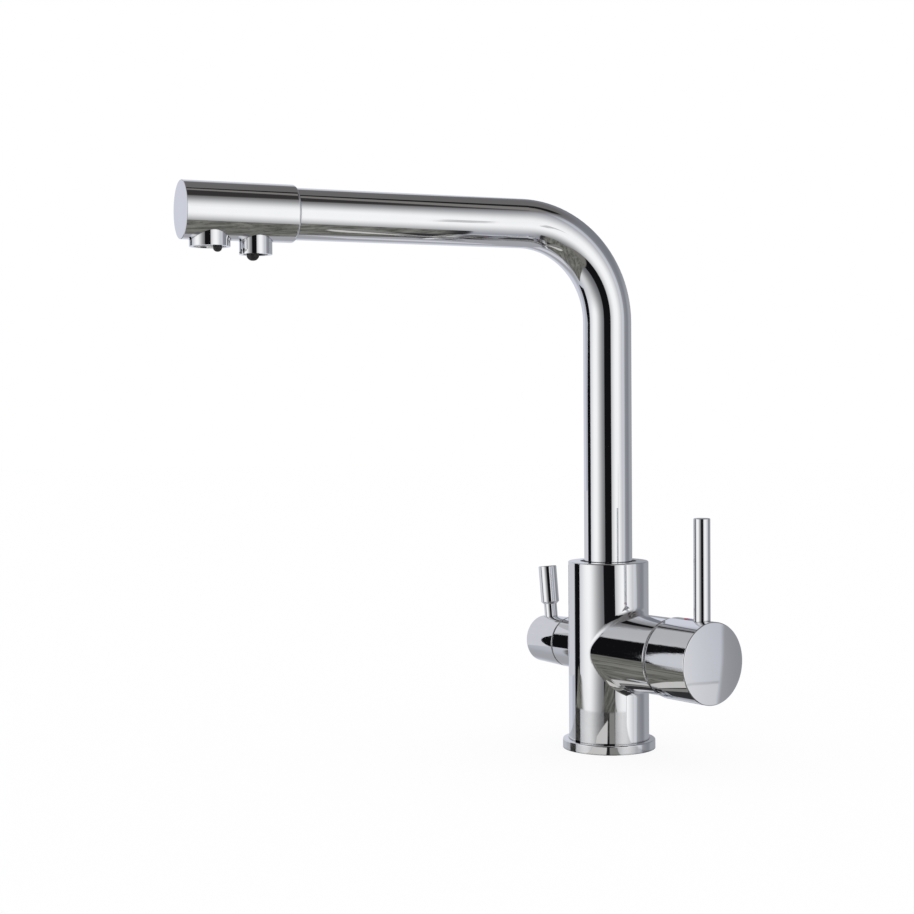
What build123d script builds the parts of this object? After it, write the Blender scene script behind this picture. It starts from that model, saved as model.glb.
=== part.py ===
from build123d import *
import os
from math import cos, radians, sin, sqrt

os.makedirs("parts", exist_ok=True)

# A three way kitchen tap: a mixer for hot and cold water and a small valve for filtered water share
# one column and one swivelling spout, and each water leaves the spout by its own outlet.
# The origin is the centre of the base where it stands on the worktop. Z is up, the mixer valve
# points along +X and the filter valve along -X. Lengths are in millimetres, angles in degrees.

# ---------------------------------------------------------------- driving dimensions
# Clearances
push_fit = 0.05            # radial room of a part pushed or screwed into its seat
running_gap = 0.05         # radial room of a shaft that turns in its bore
free_gap = 0.3             # room between pieces that move past each other
ring_groove_play = 0.15    # room beside a rubber ring in its groove

# Base
base_radius = 27.0
base_height = 5.4
base_edge = 0.8
base_rim = 2.2             # wall of the base ring outside its seal
base_seal_width = 3.2
base_seal_thickness = 1.6
base_seal_wall = 1.6       # between the seal and the column's spigot

# Column
column_ledge = 1.4         # how much wider the column is than the mixer's branch
column_edge = 0.7
valve_height = 58.1        # both valves are on one level axis
fixing_thread_radius = 3.32
fixing_thread_depth = 14.0
inlet_circle_radius = 12.5
inlet_thread_radius = 4.46
inlet_thread_depth = 10.0
passage_radius = 3.3
slant_passage_radius = 2.5

# Spout and its swivel
spout_rest_turn = -14.2    # the spout is built over -Y and rests turned by this much
spout_height = 303.9
bend_radius = 55.5
tube_radius = 14.0
tube_wall = 1.2
tube_foot_height = 100.0   # the lower end of the thin tube, on its turned foot
swivel_cover = 9.2         # how far the column's top stands over the tube's lower end
swivel_floor_gap = 1.0
foot_spigot_length = 9.0
foot_wall = 3.5
foot_end_land = 3.6        # from the foot's lower end to its first rubber ring
swivel_ring_section = 1.1
swivel_ring_pitch = 4.8
lock_groove_land = 4.0     # from the upper rubber ring to the lock groove
lock_groove_drop = 2.6     # from the tube's lower end down to the lock groove
lock_groove_depth = 1.6
lock_tip_radius = 1.3
lock_screw_radius = 2.5
bush_width = 2.3
bush_height = 3.0
bush_sink = 0.3

# Filtered water line inside the spout
inner_tube_radius = 4.0
inner_tube_wall = 1.0
nipple_radius = 3.4
nipple_bore_radius = 1.6
nipple_collar_radius = 4.6
nipple_collar_height = 2.0
nipple_length = 6.5
nipple_thread_radius = 3.1
nipple_thread_depth = 5.0
nipple_ring_section = 0.6
socket_wall = 0.95
socket_overlap = 5.5
hub_wall = 1.5
hub_height = 5.0
rib_thickness = 1.6
rib_count = 3

# Outlet head at the end of the spout
head_sleeve_wall = 1.51    # the sleeve over the tube's end
head_length = 62.0
head_back_edge = 1.5
head_wall = 1.96
end_cap_thickness = 1.5
end_cap_spigot = 2.0
end_cap_edge = 0.25
insert_gap = 0.1
insert_wall = 1.2
insert_spigot = 8.0
insert_ring_section = 0.9
seat_depth = 9.5           # how far under the spout's axis both outlets are seated
outlet_washer = 0.8
mixed_reach = 236.5        # from the column's axis to the mixed water outlet
outlet_gap = 5.35          # between the collars of the two outlets
mixed_collar_radius = 10.9
mixed_collar_drop = 19.0
mixed_port_radius = 6.5
mixed_tip_radius = 2.4
mixed_tip_drop = 2.6
mixed_tip_shift = -4.2
filtered_collar_radius = 8.85
filtered_collar_drop = 22.5
filtered_port_radius = 4.0
filtered_tip_radius = 3.4
filtered_tip_drop = 3.3
filtered_tip_shift = 1.6
collar_wall = 1.5
collar_lip = 0.8
collar_lip_height = 1.6
aerator_plate = 2.0
aerator_hole_radius = 0.75
aerator_ring_pitch = 2.5
key_notch_radius = 1.25
side_channel_radius = 2.6
side_channel_wall = 0.6

# Mixer cartridge
branch_wall = 2.95         # around the branch's mouth
branch_blend = 4.0
mixer_edge = 0.85          # rounding at both sides of the gap behind the handle
chamber_floor = 18.0       # distance of the chamber's floor from the column's axis
cartridge_radius = 17.3
cartridge_gap = 0.2
cartridge_stand = 0.3
housing_length = 25.2
housing_floor = 1.7
housing_wall = 2.0
fixed_disc_thickness = 4.0
moving_disc_thickness = 3.0
moving_disc_room = 3.3     # around the sliding disc, for its travel
disc_film = 0.05
inlet_port_radius = 2.7
inlet_port_side = 7.0
inlet_port_rise = 5.5
mixed_port_drop = 7.5
mixed_passage_radius = 3.0
port_seal_wall = 1.2
port_seal_thickness = 1.2
turret_hub_radius = 11.0
turret_hub_sink = 1.5
lever_pin_radius = 1.95
lever_pin_length = 24.0
nut_length = 6.5
nut_rim = 1.7              # how much wider the nut is than the cartridge
nut_opening_gap = 2.2
nut_slot_width = 4.0
nut_slot_depth = 2.2
nut_slot_count = 6
cover_depth = 2.5
cover_ledge = 1.0          # the branch's end left bare around the cover
cover_flange_thickness = 0.8

# Mixer handle
flow_range = 20.0
stem_width = 9.0
stem_height = 7.0
stem_inner_length = 8.0
stem_lever_gap = 2.5       # between the stem's end and the lever's spigot
stem_neck_radius = 2.0
stem_ball_radius = 2.5
stem_ball_rest = 0.45
handle_gap = 2.0
handle_overhang = 0.95     # how much wider the handle is than the branch
handle_length = 30.4
handle_wall = 1.55
handle_end = 3.5
handle_dome = 1.0
handle_edge = 0.6
handle_hub_radius = 9.0
handle_hub_sink = 4.5
lever_place = 22.0         # from the handle's open edge
lever_radius = 4.65
lever_height = 79.3        # from the valve's axis
lever_sink = 0.95
lever_spigot_radius = 3.0
lever_spigot_end = 5.2
lever_edge = 0.5
index_place = 11.3
index_radius = 2.4
index_depth = 2.2
index_split = 0.05
grub_radius = 2.2
grub_sink = 0.5
grub_key_radius = 1.4
grub_key_depth = 2.4

# Filter valve
filter_radius = 14.8
filter_collar_end = 34.0   # distance from the column's axis
filter_gap = 0.4
filter_edge = 0.5          # rounding at both sides of that gap
filter_blend = 2.4         # between the collar and the column
filter_chamber_floor = 12.0
filter_chamber_radius = 9.5
valve_body_gap = 0.1
valve_body_stand = 0.4
valve_cavity_radius = 7.6
valve_cavity_play = 0.95   # over the spindle's flange
valve_disc_thickness = 2.8
valve_disc_port = 2.6
valve_flange_gap = 0.7     # to the knob's skirt around it
valve_flange_thickness = 2.5
valve_neck_radius = 7.0
valve_neck_length = 8.0
valve_ring_section = 0.9
valve_window = 5.0
spindle_radius = 4.0
spindle_flange_thickness = 3.2
knob_length = 25.1
knob_taper = 1.0           # how much narrower the knob is at its outer end
knob_wall = 1.9
knob_floor_gap = 1.4       # between the valve's neck and the knob's floor
knob_edge = 1.2
spindle_overlap = 9.0
filter_lever_place = 17.06 # from the knob's open edge
filter_lever_lean = 6.5
filter_lever_root = 10.0   # height of the lever's lower end over the valve's axis
filter_neck_radius = 3.9
filter_neck_length = 11.5
filter_shoulder = 1.4
filter_grip_radius = 5.45
filter_grip_length = 21.8
filter_grip_edge = 0.6
knob_screw_radius = 2.0
knob_screw_sink = 0.6

# ---------------------------------------------------------------- derived places
base_seal_inner = base_radius - base_rim - base_seal_width
spigot_radius = base_seal_inner - base_seal_wall

nut_radius = cartridge_radius + nut_rim
mouth_radius = nut_radius + push_fit
branch_radius = mouth_radius + branch_wall
column_radius = branch_radius + column_ledge
column_top = tube_foot_height + swivel_cover

tube_bore = tube_radius - tube_wall
swivel_bore = tube_radius + running_gap
foot_bore_radius = tube_radius - foot_wall
lock_groove_height = tube_foot_height - lock_groove_drop
swivel_ring_high = lock_groove_height - lock_groove_land
swivel_ring_low = swivel_ring_high - swivel_ring_pitch
foot_bottom = swivel_ring_low - foot_end_land
swivel_floor = foot_bottom - swivel_floor_gap
bush_floor = column_top - bush_sink - bush_height
nipple_seat = swivel_floor
nipple_top = nipple_seat + nipple_collar_height + nipple_length
socket_bottom = nipple_seat + nipple_collar_height + swivel_floor_gap
socket_radius = inner_tube_radius + push_fit + socket_wall
inner_tube_foot = nipple_top + swivel_floor_gap
socket_top = inner_tube_foot + socket_overlap

filtered_reach = mixed_reach - mixed_collar_radius - outlet_gap - filtered_collar_radius
insert_end = mixed_reach + mixed_collar_radius + insert_wall
cap_seam = insert_end + end_cap_spigot
spout_reach = cap_seam + end_cap_thickness
head_start = spout_reach - head_length
head_radius = tube_radius + push_fit + head_sleeve_wall
head_bore = head_radius - head_wall
insert_radius = head_bore - insert_gap
tube_tip = filtered_reach - filtered_collar_radius - insert_gap - insert_wall
inner_tube_tip = filtered_reach - filtered_port_radius - insert_wall
mixed_chamber_radius = seat_depth - insert_wall
side_channel_offset = tube_bore - 2 * insert_ring_section - side_channel_wall - side_channel_radius

housing_start = chamber_floor + cartridge_stand
housing_end = housing_start + housing_length
housing_bore = cartridge_radius - housing_wall
chamber_radius = cartridge_radius + cartridge_gap
fixed_disc_start = housing_start + housing_floor
moving_disc_start = fixed_disc_start + fixed_disc_thickness + disc_film
moving_disc_end = moving_disc_start + moving_disc_thickness
ball_place = moving_disc_end + stem_ball_rest + stem_ball_radius
pivot_place = ball_place + stem_inner_length
carrier_end = ball_place + stem_ball_radius / 2
turret_start = carrier_end + free_gap
turret_end = housing_end - free_gap
nut_end = housing_end + nut_length
nut_opening = turret_hub_radius + nut_opening_gap
turret_hub_end = nut_end - turret_hub_sink
branch_end = nut_end + cover_depth
cover_flange_radius = branch_radius - cover_ledge
moving_disc_radius = housing_bore - moving_disc_room

handle_radius = branch_radius + handle_overhang
handle_start = branch_end + handle_gap
handle_rim = handle_start + handle_length
handle_inner = handle_radius - handle_wall
handle_hub_start = handle_start + handle_hub_sink
handle_inner_end = handle_rim - handle_end
lever_x = handle_start + lever_place
stem_end = lever_x - lever_spigot_radius - stem_lever_gap
index_x = handle_start + index_place
grub_length = handle_hub_radius - grub_sink - stem_height / 2

valve_body_radius = filter_chamber_radius - valve_body_gap
valve_body_start = filter_chamber_floor + valve_body_stand
valve_disc_end = valve_body_start + valve_disc_thickness
valve_moving_start = valve_disc_end + disc_film
valve_moving_end = valve_moving_start + valve_disc_thickness
spindle_flange_end = valve_moving_end + spindle_flange_thickness
valve_cavity_end = spindle_flange_end + valve_cavity_play
valve_flange_end = filter_collar_end + valve_flange_thickness
valve_neck_end = valve_flange_end + valve_neck_length
knob_start = filter_collar_end + filter_gap
knob_end = knob_start + knob_length
knob_inner = filter_radius - knob_wall
valve_flange_radius = knob_inner - valve_flange_gap
knob_floor = valve_neck_end + knob_floor_gap
spindle_end = knob_floor + spindle_overlap
filter_lever_x = knob_start + filter_lever_place

# ---------------------------------------------------------------- places of the groups
mixer_axis = Pos(0, 0, valve_height) * Rot(0, 90, 0)       # turned pieces stand along +X
filter_axis = Pos(0, 0, valve_height) * Rot(0, -90, 0)     # turned pieces stand along -X
spout_turn = Rot(0, 0, spout_rest_turn)
head_axis = spout_turn * Pos(0, 0, spout_height) * Rot(90, 0, 0)   # turned pieces stand along the spout


# ---------------------------------------------------------------- helpers
def turned(*outline):
    """A solid turned about Z from (radius, height) points."""
    return revolve(Plane.XZ * make_face(Polyline(*outline, close=True)), Axis.Z)


def ring(outer, inner, low, high):
    """A plain ring about Z, or a disc when the inner radius is 0."""
    return turned((inner, low), (outer, low), (outer, high), (inner, high))


def rod(start, end, radius):
    """A round rod between two points."""
    way = Vector(*end) - Vector(*start)
    return Plane(origin=start, z_dir=way) * extrude(Circle(radius), way.length)


def seal_ring(outer, section, height):
    """A rubber ring of round section about Z, inside a given outer radius."""
    return Pos(0, 0, height) * Torus(outer - section, section)


def seal_groove(outer, section, height):
    """The groove that a rubber ring lies in."""
    half = section + ring_groove_play
    return ring(outer + section, outer - 2 * section, height - half, height + half)


def grub_screw(radius, length, key_radius):
    """A headless screw along Z from 0 to its length, with its key hole at the top."""
    screw = ring(radius, 0, 0, length)
    screw = chamfer(screw.edges().filter_by(GeomType.CIRCLE), radius / 6)
    key = Pos(0, 0, length - grub_key_depth) * extrude(RegularPolygon(key_radius, 6), grub_key_depth)
    return screw - key


def edge_at(solid, height, radius):
    """The round edge of a turned solid at a height and radius."""
    found = [e for e in solid.edges().filter_by(GeomType.CIRCLE)
             if abs(e.center().Z - height) < 0.01 and abs(e.radius - radius) < 0.01]
    return found[0]


def inlet_point(angle):
    """Centre of an inlet hole on the underside."""
    return inlet_circle_radius * cos(radians(angle)), inlet_circle_radius * sin(radians(angle))


# ---------------------------------------------------------------- base and column
def base_ring():
    body = ring(base_radius, spigot_radius + push_fit, 0, base_height)
    body = fillet(edge_at(body, base_height, base_radius), base_edge)
    groove = ring(base_seal_inner + base_seal_width + push_fit, base_seal_inner - push_fit,
                  -1, base_seal_thickness)
    return body - groove


def base_seal():
    return ring(base_seal_inner + base_seal_width, base_seal_inner, 0, base_seal_thickness)


def blended(blank, side, radius):
    """Rounds the seam of a branch with the column, on the +X or -X side."""
    seam = [e for e in blank.edges()
            if e.geom_type not in (GeomType.CIRCLE, GeomType.LINE)
            and side * e.center().X > 0 and column_seam(e)]
    return fillet(seam, radius)


def column_seam(edge):
    """True for an edge that lies all along on the column's round side."""
    places = [edge @ share for share in (0.1, 0.35, 0.6, 0.85)]
    return all(abs(sqrt(p.X ** 2 + p.Y ** 2) - column_radius) < 0.01 for p in places)


def column_blank():
    """Outer form of the casting: the column, its spigot and the branches of both valves."""
    column = ring(column_radius, 0, base_height, column_top)
    branch = ring(branch_radius, 0, 0, branch_end)
    branch = fillet(edge_at(branch, branch_end, branch_radius), mixer_edge)
    collar = ring(filter_radius, 0, 0, filter_collar_end)
    collar = fillet(edge_at(collar, filter_collar_end, filter_radius), filter_edge)
    blank = blended(column + mixer_axis * branch, 1, branch_blend)
    blank = blended(blank + filter_axis * collar, -1, filter_blend)
    blank += ring(spigot_radius, 0, 0, base_height)
    return fillet(edge_at(blank, column_top, column_radius), column_edge)


def mixer_passages():
    """Hot and cold rise beside the axis, and mixed water climbs to the spout between them."""
    cut = Part()
    for angle in (-60, 60):
        x, y = inlet_point(angle)
        side = inlet_port_side if y > 0 else -inlet_port_side
        height = valve_height + inlet_port_rise
        cut += rod((x, y, 0), (x, y, height + inlet_port_radius), passage_radius)
        cut += rod((x, side, height), (chamber_floor + 1, side, height), inlet_port_radius)
        cut += rod((x, y, -1), (x, y, inlet_thread_depth), inlet_thread_radius)
    low = valve_height - mixed_port_drop
    climb = chamber_floor - 2 * mixed_passage_radius
    cut += rod((climb, 0, low - mixed_passage_radius), (climb, 0, swivel_floor + 1), mixed_passage_radius)
    cut += rod((climb, 0, low), (chamber_floor + 1, 0, low), mixed_passage_radius)
    return cut


def filter_passages():
    """Filtered water reaches the floor of its valve and leaves it for the nipple under the spout."""
    x, y = inlet_point(180)
    turn = valve_height - filter_chamber_radius - 2 * passage_radius
    inner = -filter_chamber_floor + 2 * slant_passage_radius
    leave = -(valve_disc_end + valve_window / 2)
    cut = rod((x, 0, 0), (x, 0, turn), passage_radius)
    cut += rod((x, 0, -1), (x, 0, inlet_thread_depth), inlet_thread_radius)
    cut += rod((x, 0, turn - 1), (inner, 0, valve_height), slant_passage_radius)
    cut += rod((inner, 0, valve_height), (-filter_chamber_floor - 1, 0, valve_height), slant_passage_radius)
    cut += rod((leave, 0, valve_height + filter_chamber_radius - 1),
               (0, 0, nipple_seat - nipple_thread_depth), slant_passage_radius)
    return cut


def body_casting():
    casting = column_blank()
    casting -= ring(swivel_bore, 0, swivel_floor, column_top + 1)
    casting -= ring(swivel_bore + bush_width + push_fit, 0, bush_floor, column_top + 1)
    casting -= mixer_axis * ring(chamber_radius, 0, chamber_floor, branch_end + 1)
    casting -= mixer_axis * ring(mouth_radius, 0, housing_end, branch_end + 1)
    casting -= filter_axis * ring(filter_chamber_radius, 0, filter_chamber_floor, filter_collar_end + 1)
    casting -= mixer_passages()
    casting -= filter_passages()
    casting -= ring(fixing_thread_radius, 0, -1, fixing_thread_depth)
    casting -= ring(nipple_thread_radius + push_fit, 0, nipple_seat - nipple_thread_depth, nipple_seat + 1)
    casting -= rod((0, 0, lock_groove_height), (0, column_radius + 1, lock_groove_height),
                   lock_screw_radius + push_fit)
    return casting


def spout_bush():
    return ring(swivel_bore + bush_width, swivel_bore, bush_floor, bush_floor + bush_height)


def spout_lock_screw():
    """The screw at the back of the column whose tip holds the spout by its groove."""
    tip = tube_radius - lock_groove_depth + free_gap
    shank = tube_radius + free_gap
    length = column_radius - free_gap - shank
    screw = Pos(0, 0, shank) * grub_screw(lock_screw_radius, length, grub_key_radius)
    screw += ring(lock_tip_radius, 0, tip, shank + 1)
    return Pos(0, 0, lock_groove_height) * Rot(-90, 0, 0) * screw


def filter_nipple():
    nipple = ring(nipple_thread_radius, nipple_bore_radius, nipple_seat - nipple_thread_depth, nipple_seat)
    nipple += ring(nipple_collar_radius, nipple_bore_radius, nipple_seat, nipple_seat + nipple_collar_height)
    nipple += ring(nipple_radius, nipple_bore_radius, nipple_seat + nipple_collar_height, nipple_top)
    return nipple - seal_groove(nipple_radius, nipple_ring_section, nipple_ring_height())


def nipple_ring_height():
    return nipple_top - nipple_length / 2


def filter_nipple_seal():
    return seal_ring(nipple_radius, nipple_ring_section, nipple_ring_height())


# ---------------------------------------------------------------- spout
def spout_path(foot, tip):
    """The spout's centre line: up from the foot, round the bend and out to the tip."""
    return FilletPolyline((0, 0, foot), (0, 0, spout_height), (0, -tip, spout_height), radius=bend_radius)


def pipe(outer, inner, foot, tip):
    path = spout_path(foot, tip)
    section = Plane(origin=path @ 0, z_dir=path % 0) * (Circle(outer) - Circle(inner))
    return spout_turn * sweep(section, path=path)


def spout_tube():
    return pipe(tube_radius, tube_bore, tube_foot_height, tube_tip)


def filtered_water_tube():
    return pipe(inner_tube_radius, inner_tube_radius - inner_tube_wall, inner_tube_foot, inner_tube_tip)


def spout_foot():
    """The turned end of the spout, with its ring grooves, its lock groove and a spider for the inner tube."""
    foot = ring(tube_radius, foot_bore_radius, foot_bottom, tube_foot_height)
    foot += ring(tube_bore - push_fit, foot_bore_radius,
                 tube_foot_height, tube_foot_height + foot_spigot_length)
    for height in (swivel_ring_low, swivel_ring_high):
        foot -= seal_groove(tube_radius, swivel_ring_section, height)
    half = lock_tip_radius + free_gap
    foot -= ring(tube_radius + 1, tube_radius - lock_groove_depth,
                 lock_groove_height - half, lock_groove_height + half)
    hub_low = inner_tube_foot - hub_height
    hub_radius = socket_radius + push_fit + hub_wall
    foot += ring(hub_radius, socket_radius + push_fit, hub_low, inner_tube_foot)
    rib_length = foot_bore_radius + free_gap - socket_radius - hub_wall / 2
    rib = Pos(socket_radius + hub_wall / 2 + rib_length / 2, 0, inner_tube_foot - hub_height / 2) * Box(
        rib_length, rib_thickness, hub_height)
    for place in range(rib_count):
        foot += Rot(0, 0, place * 360 / rib_count) * rib
    return spout_turn * foot


def spout_seals():
    return [seal_ring(tube_radius, swivel_ring_section, height)
            for height in (swivel_ring_low, swivel_ring_high)]


def filter_tube_socket():
    """The collar that turns on the nipple and carries the inner tube."""
    lower_bore = nipple_radius + running_gap
    upper_bore = inner_tube_radius + push_fit
    return turned((lower_bore, socket_bottom), (socket_radius, socket_bottom), (socket_radius, socket_top),
                  (upper_bore, socket_top), (upper_bore, inner_tube_foot), (lower_bore, inner_tube_foot))


# ---------------------------------------------------------------- outlet head
def outlet_place(reach):
    """A frame with its origin on the spout's axis over an outlet, and Z up."""
    return spout_turn * Pos(0, -reach, spout_height)


def outlet_head():
    head = ring(head_radius, 0, head_start, cap_seam)
    head = fillet(edge_at(head, head_start, head_radius), head_back_edge)
    head -= ring(tube_radius + push_fit, 0, head_start - 1, tube_tip)
    head -= ring(head_bore, 0, tube_tip, cap_seam + 1)
    head = head_axis * head
    for reach, radius in ((mixed_reach, mixed_collar_radius), (filtered_reach, filtered_collar_radius)):
        head -= outlet_place(reach) * ring(radius + insert_gap, 0, -2 * head_radius, -seat_depth)
    return head


def head_end_cap():
    cap = ring(head_radius, 0, cap_seam, spout_reach)
    cap = fillet(edge_at(cap, spout_reach, head_radius), end_cap_edge)
    return head_axis * (cap + ring(head_bore - push_fit, 0, insert_end, cap_seam))


def insert_ring_place():
    return tube_tip - insert_spigot / 2


def head_insert():
    """The block that keeps both waters apart on their way to the outlets; its spigot seals in the tube."""
    block = ring(insert_radius, 0, tube_tip, insert_end)
    block += ring(tube_bore - insert_gap, 0, tube_tip - insert_spigot, tube_tip)
    block -= seal_groove(tube_bore, insert_ring_section, insert_ring_place())
    back = tube_tip - insert_spigot - 1
    block -= ring(inner_tube_radius + push_fit, 0, back, inner_tube_tip)
    block -= ring(inner_tube_radius - inner_tube_wall, 0, inner_tube_tip - 1, filtered_reach)
    chamber_start = mixed_reach - mixed_chamber_radius
    for side in (-side_channel_offset, side_channel_offset):
        block -= Pos(side, 0, 0) * ring(side_channel_radius, 0, back, chamber_start + side_channel_radius)
    block -= ring(mixed_chamber_radius, 0, chamber_start, insert_end + 1)
    block = head_axis * block
    for reach, radius, port in ((mixed_reach, mixed_collar_radius, mixed_port_radius),
                                (filtered_reach, filtered_collar_radius, filtered_port_radius)):
        place = outlet_place(reach)
        block -= place * ring(radius + insert_gap, 0, -2 * head_radius, -seat_depth)
        block -= place * ring(port, 0, -seat_depth - 1, 0)
    return block


def head_seal():
    return head_axis * seal_ring(tube_bore, insert_ring_section, insert_ring_place())


def outlet_collar(reach, radius, drop, notched):
    """A chromed ring under the head; its lip at the rim carries the aerator."""
    bore = radius - collar_wall
    collar = turned((radius, -seat_depth), (radius, -drop), (bore - collar_lip, -drop),
                    (bore - collar_lip, -drop + collar_lip_height), (bore, -drop + collar_lip_height),
                    (bore, -seat_depth))
    if notched:
        collar -= rod((0, -bore + collar_lip + 1, -drop), (0, -radius - 1, -drop), key_notch_radius)
    return outlet_place(reach) * collar


def outlet_washer_ring(reach, radius, port):
    bore = radius - collar_wall - push_fit
    return outlet_place(reach) * ring(bore, port, -seat_depth - outlet_washer, -seat_depth)


def aerator_hole_places(limit):
    """Centres of the holes: rings of 6, 12 and so on inside a radius, six more in each ring."""
    rings = int((limit - aerator_hole_radius) / aerator_ring_pitch)
    return [(number * aerator_ring_pitch, turn * 60 / number)
            for number in range(1, rings + 1) for turn in range(6 * number)]


def aerator(reach, radius, drop, tip_radius, tip_shift):
    """A cup with a plate full of small holes at its lower end, and a seat for the rubber tip."""
    outer = radius - collar_wall - push_fit
    low = -drop + collar_lip_height
    cup = turned((0, low), (outer, low), (outer, -seat_depth - outlet_washer),
                 (outer - 1, -seat_depth - outlet_washer), (outer - 1, low + aerator_plate),
                 (0, low + aerator_plate))
    seat = ring(tip_radius - collar_lip + push_fit, 0, low - 1, low + aerator_plate + 1)
    for distance, turn in aerator_hole_places(outer - 1):
        x = distance * cos(radians(turn))
        y = distance * sin(radians(turn))
        if sqrt(x ** 2 + (y + tip_shift) ** 2) > tip_radius + aerator_hole_radius:
            cup -= Pos(x, y, 0) * ring(aerator_hole_radius, 0, low - 1, low + aerator_plate + 1)
    return outlet_place(reach) * (cup - Pos(0, -tip_shift, 0) * seat)


def drip_tip(reach, drop, tip_radius, tip_drop, tip_shift):
    """A soft rubber tip that leads the last drops off, with a rounded end."""
    low = -drop + collar_lip_height
    stem = tip_radius - collar_lip
    end = -drop - tip_drop
    tip = ring(tip_radius, 0, end, low)
    tip = fillet(edge_at(tip, end, tip_radius), 0.9 * tip_radius)
    tip += ring(stem, 0, low, low + aerator_plate)
    return outlet_place(reach) * Pos(0, -tip_shift, 0) * tip


# ---------------------------------------------------------------- mixer cartridge, fixed pieces
def port_places():
    """Hot, cold and mixed ports in the cartridge's floor, as (toward -Z, toward +Y, radius)."""
    return [(-inlet_port_rise, inlet_port_side, inlet_port_radius),
            (-inlet_port_rise, -inlet_port_side, inlet_port_radius),
            (mixed_port_drop, 0, mixed_passage_radius)]


def cartridge_housing():
    housing = ring(cartridge_radius, 0, housing_start, housing_end)
    housing -= ring(housing_bore, 0, fixed_disc_start, housing_end + 1)
    for down, side, radius in port_places():
        housing -= Pos(down, side, 0) * ring(radius, 0, housing_start - 1, fixed_disc_start + 1)
        seat = radius + port_seal_wall + push_fit
        housing -= Pos(down, side, 0) * ring(seat, 0, housing_start - 1, chamber_floor + port_seal_thickness)
    return mixer_axis * housing


def cartridge_seals():
    return [mixer_axis * Pos(down, side, 0)
            * ring(radius + port_seal_wall, radius, chamber_floor, chamber_floor + port_seal_thickness)
            for down, side, radius in port_places()]


def cartridge_fixed_disc():
    disc = ring(housing_bore - push_fit, 0, fixed_disc_start, fixed_disc_start + fixed_disc_thickness)
    for down, side, radius in port_places():
        disc -= Pos(down, side, 0) * ring(radius, 0, fixed_disc_start - 1, moving_disc_start + 1)
    return mixer_axis * disc


def cartridge_nut():
    """The ring nut that holds the cartridge down, with slots for its key."""
    nut = ring(nut_radius, nut_opening, housing_end, nut_end)
    slot = Pos(nut_radius, 0, nut_end) * Box(2 * nut_slot_depth, nut_slot_width, 2 * nut_slot_depth)
    for place in range(nut_slot_count):
        nut -= Rot(0, 0, place * 360 / nut_slot_count) * slot
    return mixer_axis * nut


def cartridge_cover():
    """The chromed ring that closes the branch's mouth behind the handle."""
    face = branch_end + cover_flange_thickness
    cover = turned((nut_opening, nut_end), (nut_opening + collar_wall, nut_end),
                   (mouth_radius - push_fit, branch_end - cover_flange_thickness),
                   (mouth_radius - push_fit, branch_end), (cover_flange_radius, branch_end),
                   (cover_flange_radius, face), (mouth_radius - collar_wall, face),
                   (nut_opening, nut_end + cover_flange_thickness))
    return mixer_axis * cover


# ---------------------------------------------------------------- mixer, moving pieces
def tilted(solid, angle):
    """A solid turned about the handle's pivot pin."""
    pivot = Pos(pivot_place, 0, valve_height)
    return pivot * Rot(0, angle, 0) * pivot.inverse() * solid


def stem_bar(room, low, high):
    """The square part of the stem between two distances from the column, grown by some room."""
    length = high - low
    return Pos((low + high) / 2, 0, valve_height) * Box(length, stem_width + 2 * room, stem_height + 2 * room)


def cartridge_turret():
    """The part of the cartridge that turns with the handle; the stem tilts in its slot."""
    turret = ring(housing_bore - running_gap, 0, turret_start, turret_end)
    turret += ring(turret_hub_radius, 0, turret_end, turret_hub_end)
    turret = mixer_axis * turret
    steps = 4
    for step in range(steps + 1):
        bar = stem_bar(free_gap, turret_start - stem_inner_length, turret_hub_end + stem_height)
        turret -= tilted(bar, flow_range * step / steps)
    half = lever_pin_length / 2
    pin_room = lever_pin_radius + running_gap / 2
    return turret - rod((pivot_place, -half, valve_height), (pivot_place, half, valve_height), pin_room)


def lever_pin():
    half = lever_pin_length / 2
    return rod((pivot_place, -half, valve_height), (pivot_place, half, valve_height), lever_pin_radius)


def cartridge_moving_disc():
    """The sliding ceramic disc, with the pocket that joins the ports under it."""
    disc = ring(moving_disc_radius, 0, moving_disc_start, moving_disc_end)
    pocket = ring(moving_disc_radius - 2 * port_seal_wall, 0, moving_disc_start - 1,
                  moving_disc_start + moving_disc_thickness / 2)
    pocket &= Pos(moving_disc_radius - inlet_port_rise / 2, 0, 0) * Box(
        2 * moving_disc_radius, 4 * moving_disc_radius, 4 * moving_disc_end)
    return mixer_axis * (disc - pocket)


def cartridge_disc_carrier():
    """The plastic carrier that couples the sliding disc to the ball of the stem."""
    carrier = ring(moving_disc_radius, 0, moving_disc_end, carrier_end)
    window = 2 * (stem_ball_radius + free_gap)
    return mixer_axis * (carrier - Pos(0, 0, carrier_end) * Box(window, window, 2 * moving_disc_end))


def cartridge_stem():
    """The stem: a ball for the disc, a neck, and the square bar that carries the handle."""
    bar = stem_bar(0, pivot_place - stem_height / 2 - 1, stem_end)
    neck = rod((ball_place, 0, valve_height), (pivot_place, 0, valve_height), stem_neck_radius)
    ball = Pos(ball_place, 0, valve_height) * Sphere(stem_ball_radius)
    half = stem_width
    hole = rod((pivot_place, -half, valve_height), (pivot_place, half, valve_height),
               lever_pin_radius + running_gap)
    return bar + neck + ball - hole


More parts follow.
